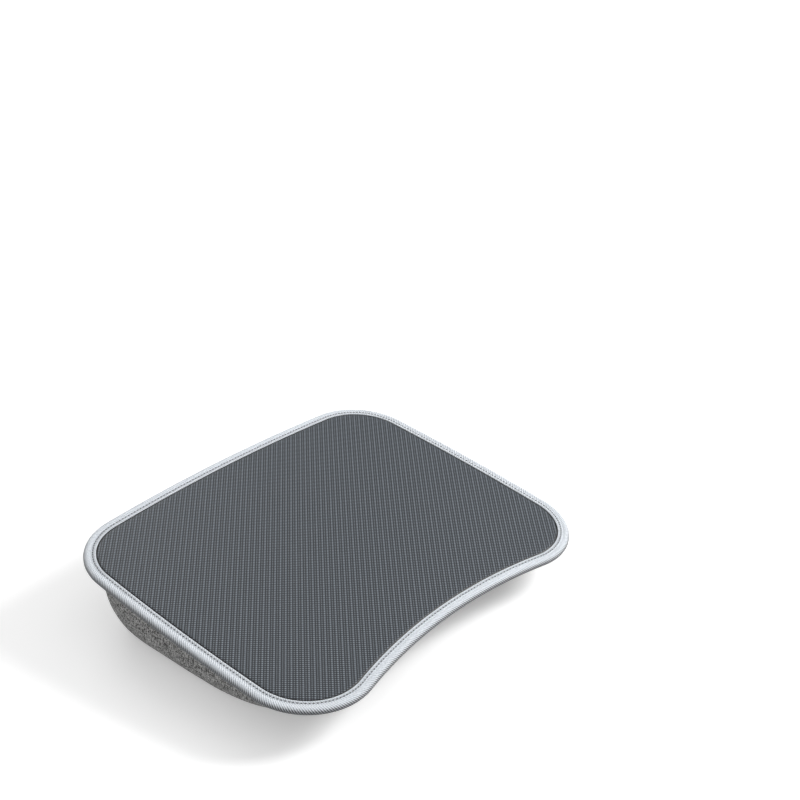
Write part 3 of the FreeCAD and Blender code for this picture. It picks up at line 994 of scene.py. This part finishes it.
# Dressing: unevenness of the filling, fuller sides, and the grooves and puckers of the seams
LID_CORNERS = 60
LOW_BUMP, LOW_LENGTH = 0.5, 55
HIGH_BUMP, HIGH_LENGTH, HIGH_SEED = 0.2, 19, 7
SIDE_FILL, SIDE_FROM, SIDE_FADE, SIDE_Y, SIDE_REACH = 2.4, 150.0, 30.0, 20.0, 80.0
PULL_LENGTH, PULL_SEED = 14, 1.7
PUCKER, PUCKER_PITCH, PUCKER_DRIFT, PUCKER_OFF, PUCKER_REACH = 0.22, 8.5, 4, 5.0, 4.0
CUT, CUT_REACH = 1.3, 1.6
DIP, DIP_VARIES, DIP_REACH = 1.5, 0.6, 9.0
CORNER_DRAW, CORNER_REACH = 4.0, 30.0
FRONT_WALL_EASE = 0.85
TOP_FADE = 12.0
STRAP_BAY, STRAP_BAY_FADE, STRAP_CLEAR = 95.0, 10.0, 1.5
SEAM_SHADE, SEAM_LINE = 0.9, 1.1
HEM = 2.5

# Lowest points of the cover and the filling, in metres
COVER_LOWEST, FILLING_LOWEST = 0.0002, 0.003


def dress_cushion(obj):
    # Finer mesh, uneven filling, seam grooves, puckers, room for the strap, and a flat underneath
    mesh = bmesh.new()
    mesh.from_mesh(obj.data)
    lid = [face for face in mesh.faces if len(face.verts) > LID_CORNERS]
    bmesh.ops.delete(mesh, geom=lid, context="FACES")
    mesh.to_mesh(obj.data)
    mesh.free()
    divide_once(obj)
    apply_modifiers(obj)
    row = coordinates(obj.data)
    normals = vertex_normals(obj.data)
    tray = to_tray(row)
    near, station = seam_field(tray)

    low = np.array([noise.noise(Vector(p)) for p in tray / LOW_LENGTH])
    high = np.array([noise.noise(Vector(p)) for p in tray / HIGH_LENGTH + (0, 0, HIGH_SEED)])
    uneven = LOW_BUMP * low + HIGH_BUMP * high
    sides = np.clip((abs(tray[:, 0]) - SIDE_FROM) / SIDE_FADE, 0, 1)
    uneven += SIDE_FILL * (sides * hump(tray[:, 1] - SIDE_Y, SIDE_REACH))

    pull = np.array([noise.noise(Vector((s, PULL_SEED, 0.0))) for s in station / PULL_LENGTH])
    pucker = np.cos(station * 2 * math.pi / PUCKER_PITCH + PUCKER_DRIFT * pull)
    groove = CUT * hump(near, CUT_REACH) + (DIP + DIP_VARIES * pull) * hump(near, DIP_REACH)
    groove = groove - PUCKER * pucker * hump(near - PUCKER_OFF, PUCKER_REACH)
    steep = 1 - abs(normals[:, 2])
    drawn = groove + CORNER_DRAW * steep * hump(near, CORNER_REACH)
    groove = np.where(tray[:, 1] < VALLEY_Y, groove * (1 - FRONT_WALL_EASE * steep), drawn)

    below = np.clip(-tray[:, 2] / TOP_FADE, 0, 1)
    row = row + normals * ((uneven - groove) * below * MM)[:, None]
    in_bay = np.clip((STRAP_BAY - abs(tray[:, 0])) / STRAP_BAY_FADE, 0, 1)
    over = np.clip(row[:, 1] - (AXIS[1] - STRAP_CLEAR) * MM, 0, None)
    row[:, 1] -= over * in_bay
    row[:, 2] = np.maximum(row[:, 2], COVER_LOWEST)
    set_coordinates(obj.data, row)
    # The seam attribute carries painted shade for the creases along the seams
    set_attribute(obj.data, "seam", SEAM_SHADE * hump(near, SEAM_LINE))


def split_panels(obj):
    # One object for each panel, with a hem along its seams turned in by the whole cushion's normals
    for index, panel in enumerate(PANELS):
        mesh = bmesh.new()
        mesh.from_mesh(obj.data)
        others = [face for face in mesh.faces if face.material_index != index]
        bmesh.ops.delete(mesh, geom=others, context="FACES")
        outward = {vert: vert.normal.copy() for vert in mesh.verts}
        rim = [edge for edge in mesh.edges if edge.is_boundary]
        grown = bmesh.ops.extrude_edge_only(mesh, edges=rim)["geom"]
        for vert in [item for item in grown if isinstance(item, bmesh.types.BMVert)]:
            beside = [edge.other_vert(vert) for edge in vert.link_edges]
            source = next(other for other in beside if other in outward)
            vert.co -= outward[source] * HEM * MM
        for face in mesh.faces:
            face.material_index = 0
            face.smooth = True
        data = bpy.data.meshes.new(panel + "_linen")
        mesh.to_mesh(data)
        mesh.free()
        piece = link_object(panel + "_linen", data)
        data.materials.append(cover_cloth)
        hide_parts(panel)
        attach(piece, "tray")


# The cover starts a little inside its solid and swells; the filling stays well inside the cover
COVER_STEPS, COVER_INSIDE = (62, 46, 58, 46), 2.2
FILLING_STEPS, FILLING_INSIDE = (30, 24, 30, 24), 11.0
FILLING_LIFT, FILLING_LIFT_REACH = 6.0, 25.0

cushion = closed_cushion("cushion_form", COVER_STEPS, COVER_INSIDE)
swell(cushion)
dress_cushion(cushion)
split_panels(cushion)
bpy.data.objects.remove(cushion)


def make_filling():
    # Lifted away from the cover round the valley, where the valley's tie is
    filling = closed_cushion("bead_filling_form", FILLING_STEPS, FILLING_INSIDE)
    points = coordinates(filling.data)
    tray = to_tray(points)
    past = np.clip(abs(tray[:, 0]) - VALLEY_HALF, 0, None)
    aside = np.hypot(past, tray[:, 1] - VALLEY_Y)
    points[:, 2] += FILLING_LIFT * MM * hump(aside, FILLING_LIFT_REACH)
    points[:, 2] = np.maximum(points[:, 2], FILLING_LOWEST)
    set_coordinates(filling.data, points)
    filling.data.materials.clear()
    filling.data.materials.append(fibre_skin)
    filling.data.polygons.foreach_set("material_index", [0] * len(filling.data.polygons))
    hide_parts("cushion_filling", "valley_tie")
    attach(filling, "tray")


make_filling()


# Strap handle: one ribbon, folded on the slant at both ends

ACROSS = 13
TAIL_STEPS, TAB_STEPS, FOLD_STEPS, BAND_STEPS = 4, 10, 9, 45
TAIL_TOP, TAIL_LOW = 4.3, 0.6
FOLD_GAP = 0.6
FOLD_FROM, FOLD_TO = 0.15, 0.85
CLOTH_THICK = 2.0
EDGE_STITCH_INSET, EDGE_STITCH_PITCH, EDGE_STITCH_END = 2.3, 3.6, 3.5
EDGE_STITCH_LENGTH, EDGE_STITCH_RADIUS, EDGE_STITCH_SINK = 2.7, 0.26, 0.12


def bow(x):
    # How far the band stands out at a place along it
    inside = np.clip(abs(x) / TAB_INNER, 0, 1)
    return STRAP_BOW * np.cos(0.5 * math.pi * inside) ** 2


def ribbon_half(share):
    # One line along the ribbon, at a place across it, from the seam to the middle of the band
    x = TAB_INNER + STRAP_WIDTH * share
    fold_z = BAND_LOW + STRAP_WIDTH * share
    points = [(x, 0.0, z) for z in np.linspace(TAIL_TOP, TAIL_LOW, TAIL_STEPS)]
    points += [(x, 0.0, z) for z in np.linspace(0.0, fold_z + FOLD_GAP, TAB_STEPS)]
    radius = STRAP_THICK / 2
    for turn in np.linspace(FOLD_FROM, FOLD_TO, FOLD_STEPS) * math.pi:
        out = radius * math.sin(turn) / math.sqrt(2)
        points.append((x + out, radius * (1 - math.cos(turn)), fold_z - out))
    for step in np.linspace(1, 0, BAND_STEPS + 1):
        band_x = (x - FOLD_GAP) * step
        points.append((band_x, STRAP_THICK + bow(band_x), fold_z))
    return np.array(points)


def make_strap():
    lines = []
    for share in np.linspace(0.0, 1.0, ACROSS):
        half = ribbon_half(share)
        other = half[::-1][1:] * np.array([-1.0, 1.0, 1.0])
        lines.append(np.concatenate([half, other]))
    ribbon = np.array(lines)
    faces, places = grid_faces(*ribbon.shape[:2])
    run = run_lengths(ribbon[ACROSS // 2])
    spread = np.linspace(0.0, STRAP_WIDTH, ACROSS)
    uv = np.stack([run[places[:, :, 1]], spread[places[:, :, 0]]], axis=2) * MM
    strap = make_object("handle_strap", (ribbon.reshape(-1, 3) + AXIS) * MM, faces, uv)
    thicken = strap.modifiers.new("thick", "SOLIDIFY")
    thicken.thickness = CLOTH_THICK * MM
    thicken.offset = 0.0
    thicken.use_even_offset = False
    divide_once(strap)
    apply_modifiers(strap)
    strap.data.materials.append(strap_cloth)
    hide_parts("handle_sleeve", "handle_tails")
    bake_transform(strap)


def make_strap_stitches():
    # Along both edges of the band, on its outer face
    centers, ways = [], []
    for drop in (EDGE_STITCH_INSET, STRAP_WIDTH - EDGE_STITCH_INSET):
        reach = TAB_INNER + STRAP_WIDTH - drop - EDGE_STITCH_END
        for x in np.arange(-reach, reach, EDGE_STITCH_PITCH):
            out = 1.5 * STRAP_THICK + bow(x) - EDGE_STITCH_SINK
            centers.append((x, out, BAND_TOP - drop))
            ways.append((1.0, bow(x + 0.5) - bow(x - 0.5), 0.0))
    outward = np.repeat([[0.0, 1.0, 0.0]], len(centers), axis=0)
    stitches = capsules(
        "handle_stitches", (np.array(centers) + AXIS) * MM, np.array(ways), outward,
        EDGE_STITCH_LENGTH * MM, EDGE_STITCH_RADIUS * MM,
    )
    stitches.data.materials.append(strap_yarn)
    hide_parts("handle_thread")
    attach(stitches, "handle")


make_strap()
make_strap_stitches()


# Hidden layers keep their solids

for node, material in (
    ("stiffener_board", board_skin),
    ("top_padding", foam_skin),
    ("base_cloth", backing_skin),
    ("handle_core", backing_skin),
):
    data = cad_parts[node].data
    data.materials.clear()
    data.materials.append(material)


# Floor, light and camera, in metres

WHITE = (1.0, 1.0, 1.0)
FLOOR_HALF, FLOOR_Z = 9, -0.0004
FLOOR_LIT, FLOOR_SEEN = (0.5, 0.5, 0.5), (0.9, 0.9, 0.9)
GLOW_NEAR, GLOW_FAR = 0.28, 0.9
GLOW_FROM, GLOW_TO = 0.6, 2.4
SKY_LOW, SKY_HIGH, SKY_TOP = 0.16, 0.62, 0.9
LAMPS = [
    # Name, place, aim, side and power in watts
    ("key", (1.35, -0.95, 1.2), (0.0, 0.0, 0.04), 0.7, 36.0),
    ("back", (0.5, 1.6, 1.3), (0.0, 0.0, 0.06), 1.0, 9.0),
    ("front", (-1.6, -0.6, 0.8), (0.0, 0.0, 0.03), 1.2, 7.0),
]
CAMERA_PLACE = (-0.86231, -0.83801, 0.84085)
CAMERA_DEGREES = (62.5559, -0.3769, -48.892)
CAMERA_SENSOR, CAMERA_LENS = 36.0, 63.0
CAMERA_CLIP = (0.05, 50.0)


def make_floor():
    # Pale, and whiter with distance to whatever sees it directly
    floor = make_object("floor", square(FLOOR_HALF, 0), [(0, 1, 2, 3)])
    floor.location.z = FLOOR_Z
    pale = Surface("pale_floor", roughness=0.9, specular=0.0)
    ray = pale.node("ShaderNodeLightPath").outputs
    direct = pale.math("MAXIMUM", ray["Is Camera Ray"], ray["Is Glossy Ray"])
    direct = pale.math("MAXIMUM", direct, ray["Is Transmission Ray"])
    pale.put(pale.shader.inputs["Base Color"], pale.mix(direct, FLOOR_LIT, FLOOR_SEEN))
    length = pale.node("ShaderNodeVectorMath", {0: pale.place()}, operation="LENGTH")
    glow = pale.fade(length.outputs["Value"], GLOW_FROM, GLOW_TO, GLOW_NEAR, GLOW_FAR)
    pale.shader.inputs["Emission Color"].default_value = rgba(WHITE)
    pale.put(pale.shader.inputs["Emission Strength"], pale.times(direct, glow))
    floor.data.materials.append(pale.material)


def make_sky():
    # Brighter overhead, and white where the camera sees it
    world = bpy.data.worlds.new("studio")
    world.use_nodes = True
    bpy.context.scene.world = world
    sky = Nodes(world.node_tree)
    background = world.node_tree.nodes["Background"]
    height = sky.split(sky.node("ShaderNodeTexCoord").outputs["Generated"])[2]
    dome = sky.fade(height, 0.0, SKY_TOP, SKY_LOW, SKY_HIGH)
    seen = sky.node("ShaderNodeLightPath").outputs["Is Camera Ray"]
    sky.put(background.inputs["Strength"], sky.blend(seen, dome, 1.0))
    background.inputs["Color"].default_value = rgba(WHITE)


def make_lamp(name, place, aim, side, power):
    data = bpy.data.lights.new(name, "AREA")
    data.size = side
    data.energy = power
    lamp = link_object(name, data)
    lamp.location = place
    lamp.rotation_mode = "QUATERNION"
    lamp.rotation_quaternion = (Vector(aim) - Vector(place)).to_track_quat("-Z", "Y")


def make_camera():
    data = bpy.data.cameras.new("main_camera")
    data.sensor_width = CAMERA_SENSOR
    data.lens = CAMERA_LENS
    data.clip_start, data.clip_end = CAMERA_CLIP
    camera = link_object("main_camera", data)
    camera.location = CAMERA_PLACE
    camera.rotation_euler = tuple(math.radians(a) for a in CAMERA_DEGREES)
    bpy.context.scene.camera = camera


make_floor()
make_sky()
for settings in LAMPS:
    make_lamp(*settings)
make_camera()
bpy.context.scene.view_settings.view_transform = "Standard"
